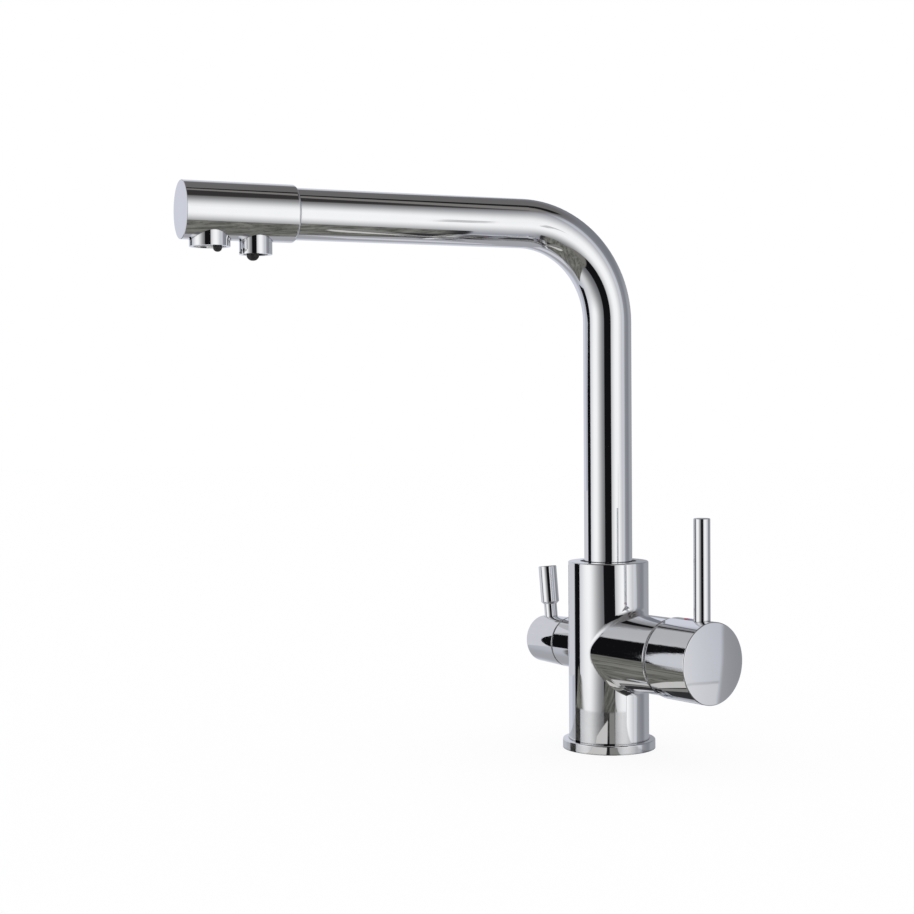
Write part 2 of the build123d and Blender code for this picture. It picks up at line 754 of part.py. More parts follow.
def handle_cup():
    """The cast handle: a cup over the branch's mouth, with a hub for the stem inside."""
    shell = ring(handle_radius, 0, handle_start, handle_rim + 2 * handle_dome)
    curve = (handle_radius ** 2 + handle_dome ** 2) / (2 * handle_dome)
    shell &= Pos(0, 0, handle_rim + handle_dome - curve) * Rot(90, 0, 0) * Sphere(curve)
    shell = fillet(edge_at(shell, handle_rim, handle_radius), handle_edge)
    shell = fillet(edge_at(shell, handle_start, handle_radius), mixer_edge)
    shell -= ring(handle_inner, handle_hub_radius, handle_start - 1, handle_inner_end)
    shell -= ring(handle_hub_radius + 1, 0, handle_start - 1, handle_hub_start)
    shell = mixer_axis * shell
    shell -= stem_bar(push_fit, handle_hub_start - 1, stem_end + free_gap)
    top = valve_height + handle_radius
    shell -= rod((index_x, 0, valve_height), (index_x, 0, valve_height + handle_hub_radius + 1),
                 grub_radius + push_fit)
    shell -= rod((index_x, 0, valve_height + handle_hub_radius + 1), (index_x, 0, top + 1),
                 index_radius + push_fit)
    shell -= rod((lever_x, 0, top - lever_sink), (lever_x, 0, top + 1), lever_radius + push_fit)
    shell -= rod((lever_x, 0, valve_height + lever_spigot_end), (lever_x, 0, top),
                 lever_spigot_radius + push_fit)
    return shell


def handle_lever():
    """The straight rod on top of the handle, screwed into the hub by its spigot."""
    foot = handle_radius - lever_sink
    lever = ring(lever_radius, 0, foot, lever_height)
    lever = fillet(edge_at(lever, lever_height, lever_radius), lever_edge)
    lever += ring(lever_spigot_radius, 0, lever_spigot_end, foot)
    return Pos(lever_x, 0, valve_height) * lever


def handle_screw():
    """The hidden screw under the index plug that clamps the handle on the stem."""
    screw = grub_screw(grub_radius, grub_length, grub_key_radius)
    return Pos(index_x, 0, valve_height + stem_height / 2) * screw


def index_plug_half(side):
    """One half of the round colour mark: -1 toward the front, 1 toward the back."""
    top = sqrt(handle_radius ** 2 - index_radius ** 2)
    plug = ring(index_radius, 0, top - index_depth, top + index_split)
    keep = Pos(0, side * (index_radius + index_split), 0) * Box(4 * index_radius, 2 * index_radius, 4 * top)
    return Pos(index_x, 0, valve_height) * (plug & keep)


# ---------------------------------------------------------------- filter valve
def filter_valve_body():
    """The ceramic headwork's brass body: discs at its inner end, spindle through its neck."""
    valve = ring(valve_body_radius, 0, valve_body_start, filter_collar_end)
    valve += ring(valve_flange_radius, 0, filter_collar_end, valve_flange_end)
    valve += ring(valve_neck_radius, 0, valve_flange_end, valve_neck_end)
    valve -= ring(valve_cavity_radius, 0, valve_body_start - 1, valve_cavity_end)
    valve -= ring(spindle_radius + running_gap, 0, valve_body_start, valve_neck_end + 1)
    window = Pos(0, 0, valve_disc_end + valve_window / 2) * Box(
        4 * valve_body_radius, valve_window, valve_window)
    for height in valve_ring_places():
        valve -= seal_groove(filter_chamber_radius, valve_ring_section, height)
    return filter_axis * (valve - window)


def valve_ring_places():
    first = valve_cavity_end + 2 * valve_ring_section
    return first, first + 5 * valve_ring_section


def filter_valve_seals():
    """Two rings about the headwork and a flat ring between its inner end and the chamber's floor."""
    flat = ring(valve_body_radius - port_seal_wall, slant_passage_radius + port_seal_wall,
                filter_chamber_floor, valve_body_start)
    rings = [seal_ring(filter_chamber_radius, valve_ring_section, height) for height in valve_ring_places()]
    return [filter_axis * seal for seal in [flat] + rings]


def half_open(disc_start, disc_end):
    """The half-moon port of a valve disc, on one side of its middle."""
    port = ring(valve_cavity_radius - port_seal_wall, 0, disc_start - 1, disc_end + 1)
    reach = 2 * valve_cavity_radius
    return port & Pos(valve_disc_port / 2 + reach / 2, 0, 0) * Box(reach, 2 * reach, 4 * disc_end)


def filter_fixed_disc():
    disc = ring(valve_cavity_radius - push_fit, 0, valve_body_start, valve_disc_end)
    return filter_axis * (disc - half_open(valve_body_start, valve_disc_end))


def filter_moving_disc():
    """Its port is turned a quarter away from the fixed one, so the valve rests closed."""
    disc = ring(valve_cavity_radius - free_gap, 0, valve_moving_start, valve_moving_end)
    return filter_axis * (disc - Rot(0, 0, 90) * half_open(valve_moving_start, valve_moving_end))


def filter_spindle():
    spindle = ring(valve_cavity_radius - free_gap, 0, valve_moving_end, spindle_flange_end)
    window = half_open(valve_moving_end, spindle_flange_end)
    spindle -= Rot(0, 0, 90) * window
    spindle += ring(spindle_radius, 0, valve_moving_end, spindle_end)
    return filter_axis * spindle


def lever_frame():
    """A frame at the filter lever's lower end with Z along the leaning lever."""
    return Pos(-filter_lever_x, 0, valve_height + filter_lever_root) * Rot(0, -filter_lever_lean, 0)


def knob_radius(distance):
    """Radius of the tapering knob at a distance from the column's axis."""
    return filter_radius - knob_taper * (distance - knob_start) / knob_length


def filter_knob():
    knob = turned((0, knob_start), (filter_radius, knob_start), (knob_radius(knob_end), knob_end),
                  (0, knob_end))
    knob = fillet(edge_at(knob, knob_end, knob_radius(knob_end)), knob_edge)
    knob = fillet(edge_at(knob, knob_start, filter_radius), filter_edge)
    knob -= ring(knob_inner, 0, knob_start - 1, knob_floor)
    knob -= ring(spindle_radius + push_fit, 0, knob_floor - 1, spindle_end)
    knob = filter_axis * knob
    knob -= lever_frame() * ring(filter_neck_radius + push_fit, 0, 0, filter_radius)
    screw_x = -(knob_floor + spindle_overlap / 2)
    knob -= rod((screw_x, 0, valve_height - spindle_radius), (screw_x, 0, valve_height - filter_radius - 1),
                knob_screw_radius + push_fit)
    return knob


def filter_lever():
    """The short leaning handle: a neck in the knob, a shoulder and a thicker grip."""
    shoulder = filter_neck_length + filter_shoulder
    top = shoulder + filter_grip_length
    lever = turned((0, 0), (filter_neck_radius, 0), (filter_neck_radius, filter_neck_length),
                   (filter_grip_radius, shoulder), (filter_grip_radius, top), (0, top))
    return lever_frame() * fillet(edge_at(lever, top, filter_grip_radius), filter_grip_edge)


def filter_knob_screw():
    """The screw under the knob that holds it on the spindle."""
    distance = knob_floor + spindle_overlap / 2
    length = knob_radius(distance) - knob_screw_sink - spindle_radius
    screw = grub_screw(knob_screw_radius, length, grub_key_radius * knob_screw_radius / grub_radius)
    return Pos(-distance, 0, valve_height - spindle_radius) * Rot(180, 0, 0) * screw


# ---------------------------------------------------------------- all pieces by name
pieces = {
    "base_ring": base_ring(),
    "base_seal": base_seal(),
    "body_casting": body_casting(),
    "spout_bush": spout_bush(),
    "spout_lock_screw": spout_lock_screw(),
    "filter_nipple": filter_nipple(),
    "filter_nipple_seal": filter_nipple_seal(),
    "cartridge_housing": cartridge_housing(),
    "cartridge_seals": cartridge_seals(),
    "cartridge_fixed_disc": cartridge_fixed_disc(),
    "cartridge_nut": cartridge_nut(),
    "cartridge_cover": cartridge_cover(),
    "filter_valve_body": filter_valve_body(),
    "filter_valve_seals": filter_valve_seals(),
    "filter_fixed_disc": filter_fixed_disc(),
    "spout_tube": spout_tube(),
    "spout_foot": spout_foot(),
    "spout_seals": spout_seals(),
    "filter_tube_socket": filter_tube_socket(),
    "filtered_water_tube": filtered_water_tube(),
    "outlet_head": outlet_head(),
    "head_end_cap": head_end_cap(),
    "head_insert": head_insert(),
    "head_seal": head_seal(),
    "mixed_outlet_collar": outlet_collar(mixed_reach, mixed_collar_radius, mixed_collar_drop, False),
    "mixed_outlet_washer": outlet_washer_ring(mixed_reach, mixed_collar_radius, mixed_port_radius),
    "mixed_aerator": aerator(mixed_reach, mixed_collar_radius, mixed_collar_drop,
                             mixed_tip_radius, mixed_tip_shift),
    "mixed_drip_tip": drip_tip(mixed_reach, mixed_collar_drop, mixed_tip_radius,
                               mixed_tip_drop, mixed_tip_shift),
    "filtered_outlet_collar": outlet_collar(filtered_reach, filtered_collar_radius,
                                            filtered_collar_drop, True),
    "filtered_outlet_washer": outlet_washer_ring(filtered_reach, filtered_collar_radius,
                                                 filtered_port_radius),
    "filtered_aerator": aerator(filtered_reach, filtered_collar_radius, filtered_collar_drop,
                                filtered_tip_radius, filtered_tip_shift),
    "filtered_drip_tip": drip_tip(filtered_reach, filtered_collar_drop, filtered_tip_radius,
                                  filtered_tip_drop, filtered_tip_shift),
    "cartridge_turret": cartridge_turret(),
    "lever_pin": lever_pin(),
    "cartridge_moving_disc": cartridge_moving_disc(),
    "cartridge_disc_carrier": cartridge_disc_carrier(),
    "cartridge_stem": cartridge_stem(),
    "handle_cup": handle_cup(),
    "handle_lever": handle_lever(),
    "handle_screw": handle_screw(),
    "index_plug_hot": index_plug_half(-1),
    "index_plug_cold": index_plug_half(1),
    "filter_spindle": filter_spindle(),
    "filter_moving_disc": filter_moving_disc(),
    "filter_knob": filter_knob(),
    "filter_lever": filter_lever(),
    "filter_knob_screw": filter_knob_screw(),
}

for name, piece in pieces.items():
    solid = Compound(children=list(piece)) if isinstance(piece, list) else piece
    export_step(solid, f"parts/{name}.step")
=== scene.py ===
from math import cos, degrees, pi, radians, sin

import bmesh
import bpy
from mathutils import Matrix

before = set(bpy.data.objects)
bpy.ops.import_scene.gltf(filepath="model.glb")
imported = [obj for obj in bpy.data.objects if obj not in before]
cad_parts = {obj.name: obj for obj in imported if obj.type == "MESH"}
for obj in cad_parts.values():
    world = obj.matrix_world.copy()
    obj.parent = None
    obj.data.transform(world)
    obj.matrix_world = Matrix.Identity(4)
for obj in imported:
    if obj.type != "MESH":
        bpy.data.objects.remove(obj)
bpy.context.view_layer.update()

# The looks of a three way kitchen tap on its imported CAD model: polished chrome outside, brass,
# steel, rubber, plastic and ceramic inside, and a small photo studio for the chrome to reflect.
# Lengths are in metres. Angles are in radians, apart from the turn and the rise at which a thing
# shows on the studio's wall, which are in degrees.

bl_info = {
    "name": "Three Way Tap Looks",
    "version": (1, 0, 0),
    "blender": (4, 5, 0),
    "location": "3D View > Sidebar > Tap",
    "description": "Finishes and studio for a three way kitchen tap",
    "category": "Object",
}

CHROME_NODES = ("base_ring", "body_casting", "cartridge_cover", "spout_tube", "outlet_head",
                "head_end_cap", "mixed_outlet_collar", "filtered_outlet_collar", "handle_cup",
                "handle_lever", "filter_knob", "filter_lever")
BRASS_NODES = ("spout_foot", "filter_nipple", "filter_tube_socket", "cartridge_nut",
               "filter_valve_body", "filter_spindle", "cartridge_stem")
STEEL_NODES = ("spout_lock_screw", "lever_pin", "handle_screw", "filter_knob_screw")
RUBBER_NODES = ("base_seal", "filter_nipple_seal", "cartridge_seals", "filter_valve_seals",
                "spout_seals", "head_seal", "mixed_outlet_washer", "filtered_outlet_washer",
                "mixed_drip_tip", "filtered_drip_tip")
PALE_PLASTIC_NODES = ("cartridge_housing", "cartridge_turret", "cartridge_disc_carrier",
                      "head_insert", "mixed_aerator", "filtered_aerator")
DARK_PLASTIC_NODES = ("spout_bush",)
WATER_TUBE_NODES = ("filtered_water_tube",)
CERAMIC_NODES = ("cartridge_fixed_disc", "cartridge_moving_disc", "filter_fixed_disc",
                 "filter_moving_disc")
HOT_NODES = ("index_plug_hot",)
COLD_NODES = ("index_plug_cold",)


# ---------------------------------------------------------------- properties
def colour_property(name, description, default):
    return bpy.props.FloatVectorProperty(name=name, description=description, default=default,
                                         subtype="COLOR", size=3, min=0.0, max=1.0)


def share_property(name, description, default):
    return bpy.props.FloatProperty(name=name, description=description, default=default,
                                   min=0.0, max=1.0, subtype="FACTOR")


def angle_property(name, description, default):
    return bpy.props.FloatProperty(name=name, description=description, default=default,
                                   subtype="ANGLE")


class TapFinishes(bpy.types.PropertyGroup):
    """Colours and polish of the tap's materials."""
    chrome: colour_property("Chrome", "Colour of the polished chrome", (0.955, 0.96, 0.975))
    chrome_polish: share_property("Chrome roughness", "How far the chrome blurs what it reflects", 0.03)
    brass: colour_property("Brass", "Colour of the turned brass pieces", (0.78, 0.56, 0.27))
    steel: colour_property("Steel", "Colour of the screws and pins", (0.62, 0.61, 0.59))
    rubber: colour_property("Rubber", "Colour of the seals and the drip tips", (0.012, 0.012, 0.013))
    pale_plastic: colour_property("Pale plastic", "Colour of cartridge and aerators", (0.82, 0.82, 0.79))
    dark_plastic: colour_property("Dark plastic", "Colour of the slip bush", (0.05, 0.05, 0.055))
    water_tube: colour_property("Water tube", "Colour of the filtered water tube", (0.62, 0.72, 0.78))
    ceramic: colour_property("Ceramic", "Colour of the valve discs", (0.87, 0.86, 0.83))
    hot: colour_property("Hot mark", "Colour of the hot half of the index mark", (0.62, 0.004, 0.02))
    cold: colour_property("Cold mark", "Colour of the cold half of the index mark", (0.01, 0.03, 0.35))


class TapStudio(bpy.types.PropertyGroup):
    """Camera, floor and what the chrome reflects."""
    camera_place: bpy.props.FloatVectorProperty(
        name="Camera place", description="Where the camera stands", size=3,
        default=(0.7379, -0.6655, 0.19385), subtype="TRANSLATION", unit="LENGTH")
    camera_turn: angle_property("Camera turn", "Heading of the camera about the upright axis",
                                radians(53.04))
    camera_tilt: angle_property("Camera tilt", "How far the camera looks down", radians(1.35))
    camera_roll: angle_property("Camera roll", "Turn of the picture about its middle", radians(-0.39))
    lens: bpy.props.FloatProperty(
        name="Lens", description="Focal length in millimetres", default=66.72, min=10.0)
    floor_colour: colour_property("Floor", "Colour of the floor", (0.98, 0.98, 0.98))
    floor_glow: share_property("Floor glow", "Share of the floor's white that no shadow darkens", 0.88)
    front: angle_property("Studio front", "Heading of the middle of the studio, seen from the tap",
                          radians(47.95))
    lamp_level: bpy.props.FloatProperty(
        name="Soft box level", description="Brightness of the soft boxes in the chrome",
        default=0.94, min=0.0)
    flag_turn: angle_property("Flag turn", "Heading of the dark cloth from the studio's middle",
                              radians(-97.0))


# ---------------------------------------------------------------- shader maths
class Value:
    """A number from a node's socket. Arithmetic on it adds Math nodes."""

    def __init__(self, nodes, socket):
        self.nodes = nodes
        self.socket = socket

    def math(self, operation, *others):
        inputs = dict(enumerate((self,) + others))
        return self.nodes.add("ShaderNodeMath", {"operation": operation}, inputs)

    def reflected(self, operation, other):
        return self.nodes.add("ShaderNodeMath", {"operation": operation}, {0: other, 1: self})

    def __add__(self, other):
        return self.math("ADD", other)

    def __radd__(self, other):
        return self.reflected("ADD", other)

    def __sub__(self, other):
        return self.math("SUBTRACT", other)

    def __rsub__(self, other):
        return self.reflected("SUBTRACT", other)

    def __mul__(self, other):
        return self.math("MULTIPLY", other)

    def __rmul__(self, other):
        return self.reflected("MULTIPLY", other)

    def __truediv__(self, other):
        return self.math("DIVIDE", other)

    def __rtruediv__(self, other):
        return self.reflected("DIVIDE", other)

    def __rpow__(self, other):
        return self.reflected("POWER", other)

    def __abs__(self):
        return self.math("ABSOLUTE")

    def at_most(self, other):
        return self.math("MINIMUM", other)

    def at_least(self, other):
        return self.math("MAXIMUM", other)

    def rise(self, low, high):
        """0 below low, 1 above high, and a smooth step between."""
        return self.nodes.add("ShaderNodeMapRange", {"interpolation_type": "SMOOTHSTEP"},
                              {"Value": self, "From Min": low, "From Max": high})

    def fall(self, low, high):
        """1 below low, 0 above high, and a smooth step between."""
        return 1 - self.rise(low, high)

    def window(self, low, high, soft):
        """1 between two limits, with soft edges of that width inside them."""
        return self.rise(low, low + soft) * self.fall(high - soft, high)

    def glow(self, middle, width):
        """A bell: 1 at the middle, about a third at a distance of width."""
        natural_base = 2.718
        way = (self - middle) / width
        return natural_base ** (way * way * -1)


class Nodes:
    """Adds nodes to the tree of one material or world."""

    def __init__(self, owner):
        owner.use_nodes = True
        self.owner = owner
        self.tree = owner.node_tree
        self.tree.nodes.clear()

    def add(self, kind, settings=None, inputs=None, output=0):
        """Adds a node, with its settings first and then the values or links of its sockets, and
        returns the value at its output."""
        node = self.tree.nodes.new(kind)
        for name, setting in (settings or {}).items():
            setattr(node, name, setting)
        for name, source in (inputs or {}).items():
            if isinstance(source, Value):
                self.tree.links.new(source.socket, node.inputs[name])
            else:
                node.inputs[name].default_value = source
        return Value(self, node.outputs[output]) if node.outputs else node

    def place(self):
        """The point on the object, in metres."""
        return self.add("ShaderNodeTexCoord", output="Object")

    def parts(self, vector):
        """The three numbers of a vector."""
        return [self.add("ShaderNodeSeparateXYZ", inputs={0: vector}, output=axis) for axis in "XYZ"]

    def stretched(self, vector, scale):
        return self.add("ShaderNodeVectorMath", {"operation": "MULTIPLY"}, {0: vector, 1: scale})

    def noise(self, vector, scale, detail=2.0, roughness=0.5):
        """Cloudy numbers from 0 to 1, with about scale clouds to the metre."""
        return self.add("ShaderNodeTexNoise", {},
                        {"Vector": vector, "Scale": scale, "Detail": detail, "Roughness": roughness})

    def mix(self, share, first, second):
        """Colour that goes from first to second."""
        return self.add("ShaderNodeMix", {"data_type": "RGBA"}, {0: share, 6: first, 7: second}, 2)

    def painted(self, colour, coats):
        """A colour with coats of other colours over it, each with the share that it hides."""
        for share, coat in coats:
            colour = self.mix(share, colour, coat)
        return colour

    def bump(self, height, distance):
        return self.add("ShaderNodeBump", {}, {"Height": height, "Distance": distance})

    def seen_directly(self):
        """1 for what the camera sees itself, in a mirror or through glass, and 0 for lighting."""
        rays = [self.add("ShaderNodeLightPath", output=name)
                for name in ("Is Camera Ray", "Is Glossy Ray", "Is Transmission Ray")]
        return (rays[0] + rays[1] + rays[2]).at_most(1.0)

    def principled(self, **inputs):
        """The Principled shader; an underscore in a name stands for a space."""
        sockets = {name.replace("_", " "): source for name, source in inputs.items()}
        return self.add("ShaderNodeBsdfPrincipled", {}, sockets)

    def light(self, colour):
        """A shader that glows in a colour at a plain level."""
        return self.add("ShaderNodeEmission", {}, {"Color": colour, "Strength": 1.0})

    def clear(self):
        """A shader that can't be seen."""
        return self.add("ShaderNodeBsdfTransparent")

    def blend(self, share, first, second):
        """A shader that goes from first to second."""
        return self.add("ShaderNodeMixShader", {}, {0: share, 1: first, 2: second})

    def finish(self, shader):
        """Makes a shader the surface of the material, which it returns."""
        self.add("ShaderNodeOutputMaterial", {}, {"Surface": shader})
        return self.owner

    def surface(self, **inputs):
        """Makes the Principled shader the surface of the material, which it returns."""
        return self.finish(self.principled(**inputs))


def shade(colour, level):
    """A colour made darker or lighter, as a node socket takes it."""
    return tuple(min(1.0, part * level) for part in colour) + (1.0,)


def tint(red, green, blue):
    """A colour from its three parts, as a node socket takes it."""
    return red, green, blue, 1.0


WHITE = tint(1.0, 1.0, 1.0)


# ---------------------------------------------------------------- finishes
def new_finish(name):
    """The nodes of a new material."""
    return Nodes(bpy.data.materials.new(name))


def chrome_finish(finishes):
    """Polished chrome: a mirror with the faint waves of polishing, a few wiped smears and painted
    shade, a dark line in the seams."""
    painted_shade_reach = 0.0016
    nodes = new_finish("polished_chrome")
    place = nodes.place()
    wave = nodes.noise(place, scale=55.0, detail=1.0)
    smear = nodes.noise(nodes.stretched(place, (1.0, 1.0, 0.35)), scale=90.0, detail=4.0, roughness=0.6)
    grain = nodes.noise(place, scale=2500.0, detail=1.0)
    # Painted shade: the chrome turns near black in seams and corners that ambient occlusion finds closed
    # in.
    openness_for_painted_shade = nodes.add("ShaderNodeAmbientOcclusion", {"samples": 6}, {"Distance": painted_shade_reach}, "AO")
    unshaded_chrome = nodes.mix(smear.rise(0.35, 0.75), shade(finishes.chrome, 1.0), shade(finishes.chrome, 0.985))
    colour = nodes.mix(openness_for_painted_shade.rise(0.35, 0.8), shade(finishes.chrome, 0.04), unshaded_chrome)
    roughness = smear.rise(0.45, 0.8) * 0.012 + grain * 0.004 + finishes.chrome_polish
    return nodes.surface(Base_Color=colour, Metallic=1.0, Roughness=roughness,
                         Normal=nodes.bump(wave, distance=0.00002))


def brass_finish(finishes):
    """Turned brass with fine tool marks and a slight tarnish."""
    nodes = new_finish("turned_brass")
    place = nodes.place()
    tarnish = nodes.noise(place, scale=120.0, detail=4.0).rise(0.35, 0.7)
    marks = nodes.noise(nodes.stretched(place, (1.0, 1.0, 12.0)), scale=900.0)
    colour = nodes.mix(tarnish, shade(finishes.brass, 1.0), shade(finishes.brass, 0.72))
    return nodes.surface(Base_Color=colour, Metallic=1.0,
                         Roughness=tarnish * 0.12 + marks * 0.1 + 0.2,
                         Normal=nodes.bump(marks, distance=0.00001))


def steel_finish(finishes):
    """Stainless steel with a fine grain and a few stains."""
    nodes = new_finish("stainless_steel")
    place = nodes.place()
    grain = nodes.noise(place, scale=1800.0, detail=3.0)
    stain = nodes.noise(place, scale=260.0).rise(0.4, 0.7)
    colour = nodes.mix(stain, shade(finishes.steel, 1.0), shade(finishes.steel, 0.85))
    return nodes.surface(Base_Color=colour, Metallic=1.0, Roughness=grain * 0.15 + 0.22,
                         Normal=nodes.bump(grain, distance=0.000005))


def rubber_finish(finishes):
    """Moulded black rubber, matt with a fine grain and a bloom of dust."""
    nodes = new_finish("black_rubber")
    place = nodes.place()
    grain = nodes.noise(place, scale=3000.0)
    bloom = nodes.noise(place, scale=350.0, detail=3.0).rise(0.4, 0.75)
    colour = nodes.mix(bloom, shade(finishes.rubber, 1.0), shade(finishes.rubber, 2.2))
    return nodes.surface(Base_Color=colour, Roughness=bloom * 0.15 + 0.42,
                         Normal=nodes.bump(grain, distance=0.00001))


def plastic_finish(name, colour, roughness):
    """Moulded plastic with a slight flow pattern and a fine grain."""
    nodes = new_finish(name)
    place = nodes.place()
    flow = nodes.noise(place, scale=140.0).rise(0.3, 0.7)
    grain = nodes.noise(place, scale=2200.0)
    tone = nodes.mix(flow, shade(colour, 1.0), shade(colour, 0.93))
    return nodes.surface(Base_Color=tone, Roughness=grain * 0.1 + roughness,
                         Normal=nodes.bump(grain, distance=0.000006))


def ceramic_finish(finishes):
    """Lapped ceramic: pale, hard and smooth, with a few grey specks."""
    nodes = new_finish("disc_ceramic")
    speck = nodes.noise(nodes.place(), scale=2600.0).rise(0.66, 0.72)
    colour = nodes.mix(speck, shade(finishes.ceramic, 1.0), shade(finishes.ceramic, 0.6))
    return nodes.surface(Base_Color=colour, Roughness=speck * 0.2 + 0.12)


def index_finish(name, colour):
    """Matt tinted plastic of the index mark, a little darker in clouds."""
    nodes = new_finish(name)
    cloud = nodes.noise(nodes.place(), scale=700.0).rise(0.3, 0.7)
    tone = nodes.mix(cloud, shade(colour, 1.0), shade(colour, 0.8))
    return nodes.surface(Base_Color=tone, Roughness=cloud * 0.1 + 0.5, Specular_IOR_Level=0.0)


def dress(names, material):
    """Gives CAD nodes their finish."""
    for name in names:
        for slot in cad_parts[name].material_slots:
            slot.material = material


# ---------------------------------------------------------------- parts of the studio
def new_object(name, data):
    thing = bpy.data.objects.new(name, data)
    bpy.context.scene.collection.objects.link(thing)
    return thing


def to_mesh(name, shape):
    """Turns a bmesh into a mesh."""
    mesh = bpy.data.meshes.new(name)
    shape.to_mesh(mesh)
    shape.free()
    return mesh


def disc_mesh(name, radius):
    shape = bmesh.new()
    bmesh.ops.create_circle(shape, cap_ends=True, segments=96, radius=radius)
    return to_mesh(name, shape)


def ball_mesh(name, radius):
    shape = bmesh.new()
    bmesh.ops.create_icosphere(shape, subdivisions=5, radius=radius)
    return to_mesh(name, shape)


def sheet_mesh(name, corners):
    shape = bmesh.new()
    shape.faces.new([shape.verts.new(corner) for corner in corners])
    return to_mesh(name, shape)


def cover(thing, material):
    """Gives a part of the studio its surface, which isn't sampled as a lamp."""
    material.cycles.emission_sampling = "NONE"
    thing.data.materials.append(material)


def reflected_only(thing):
    """Makes a part of the studio show in the chrome, and neither hide nor light anything else."""
    thing.visible_camera = False
    thing.visible_diffuse = False
    thing.visible_shadow = False
    thing.visible_volume_scatter = False


def add_floor(studio):
    """A pale floor that takes the tap's shadow; part of its white is its own, as on paper lit from
    all around."""
    floor = new_object("floor", disc_mesh("floor", radius=6.0))
    nodes = new_finish("pale_floor")
    dust = nodes.noise(nodes.place(), scale=6.0, detail=3.0)
    colour = nodes.mix(dust, shade(studio.floor_colour, 1.0), shade(studio.floor_colour, 0.995))
    paper = nodes.principled(Base_Color=colour, Roughness=1.0, Specular_IOR_Level=0.0)
    own_white = nodes.seen_directly() * studio.floor_glow
    cover(floor, nodes.finish(nodes.blend(own_white, paper, nodes.light(WHITE))))
    floor.visible_glossy = False


# ---------------------------------------------------------------- what the chrome reflects
def room_walls(nodes, turn, rise, ragged):
    """The walls, floor and ceiling of the room without its lamps, from coat to coat."""
    away = abs(turn)
    walls = nodes.mix(away.rise(45.0, 85.0), tint(0.12, 0.122, 0.13), tint(0.43, 0.445, 0.495))

    left_back = turn.fall(-138.0, -120.0)
    shaded_corner = turn.rise(60.0, 66.0)
    right_wall = turn.rise(74.0, 77.0)
    skirting = turn.window(77.0, 90.0, soft=1.0)
    below_skirting = skirting * rise.fall(-12.6, -12.2)
    skirting_line = skirting * rise.window(-12.9, -12.2, soft=0.2)
    dark_wall = turn.rise(89.0, 91.0)
    right_back = turn.rise(112.0, 130.0)
    back_floor = away.rise(100.0, 120.0) * rise.fall(-40.0, -20.0)
    top_of_dark_wall = rise.rise(8.0, 26.0) * turn.rise(80.0, 110.0)
    ceiling = rise.rise(36.0, 52.0)
    left_panel = turn.window(-144.0, -92.0, soft=5.0) * rise.window(8.0, 64.0, soft=8.0)
    left_line = turn.window(-154.0, -147.0, soft=1.5) * (rise + ragged * 10).rise(16.0, 28.0)
    dark_mat = turn.window(86.0, 136.0, soft=8.0) * rise.window(-78.0, -56.0, soft=5.0)
    overhead = rise.rise(48.0, 51.0)
    near_beam = overhead * turn.window(44.0, 69.0, soft=2.0)
    pale_beam = overhead * turn.window(69.0, 86.0, soft=2.0)
    far_beam = overhead * turn.window(88.0, 112.0, soft=3.0)

    return nodes.painted(walls, (
        (left_back, tint(0.62, 0.64, 0.71)),
        (shaded_corner, tint(0.27, 0.275, 0.31)),
        (right_wall, tint(0.45, 0.465, 0.52)),
        (below_skirting, tint(0.5, 0.51, 0.55)),
        (skirting_line, tint(0.3, 0.305, 0.33)),
        (dark_wall, tint(0.215, 0.22, 0.245)),
        (right_back, tint(0.33, 0.34, 0.37)),
        (back_floor, tint(0.35, 0.355, 0.38)),
        (top_of_dark_wall, tint(0.19, 0.195, 0.22)),
        (ceiling, tint(0.14, 0.135, 0.135)),
        (left_panel, tint(0.44, 0.445, 0.46)),
        (left_line, tint(0.05, 0.05, 0.055)),
        (dark_mat, tint(0.05, 0.05, 0.05)),
        (near_beam, tint(0.035, 0.033, 0.033)),
        (pale_beam, tint(0.2, 0.19, 0.18)),
        (far_beam, tint(0.012, 0.012, 0.012)),
    ))


def with_soft_boxes(nodes, turn, rise, walls, level):
    """The room's colours with a soft box at the left and one at the right, which both fade towards
    the ceiling and the floor. The right one has a seam and a sharp edge beside the gap."""
    fullness = 1.04
    low = rise.at_most(0.0)
    top = rise.fall(4.0, 55.0)
    left_foot = (low.rise(-30.0, -2.0) * 0.42 + 0.58) * low.rise(-64.0, -54.0)
    left = turn.glow(middle=-61.0, width=28.0) * top * left_foot
    right_foot = low.rise(-62.0, -12.0)
    right_lean = low * 0.25
    right = (turn + right_lean).glow(middle=44.0, width=31.0) * top * right_foot
    seam = turn.window(49.0, 51.6, soft=0.8) * rise.window(-12.0, -1.0, soft=1.0)
    inner_edge = turn.rise(14.5, 18.0)
    right = right * (1 - seam * 0.5) * inner_edge
    lamp = tint(level, level, level)
    return nodes.painted(walls, ((left * fullness, lamp), (right * fullness, lamp)))


def with_dark_gap(nodes, turn, rise, room, ragged):
    """The room's colours with the dark gap between the soft boxes, ragged at its top and paler at
    its foot."""
    lean = rise.at_most(0.0) * 0.2
    gap = (turn + lean).window(-16.0, 18.0, soft=2.0) * (rise + ragged * 3).fall(44.0, 54.0)
    above_foot = (rise - turn * 0.5).rise(-39.0, -37.0)
    dark = nodes.mix(above_foot, tint(0.17, 0.165, 0.15), tint(0.006, 0.006, 0.007))
    return nodes.mix(gap, room, dark)


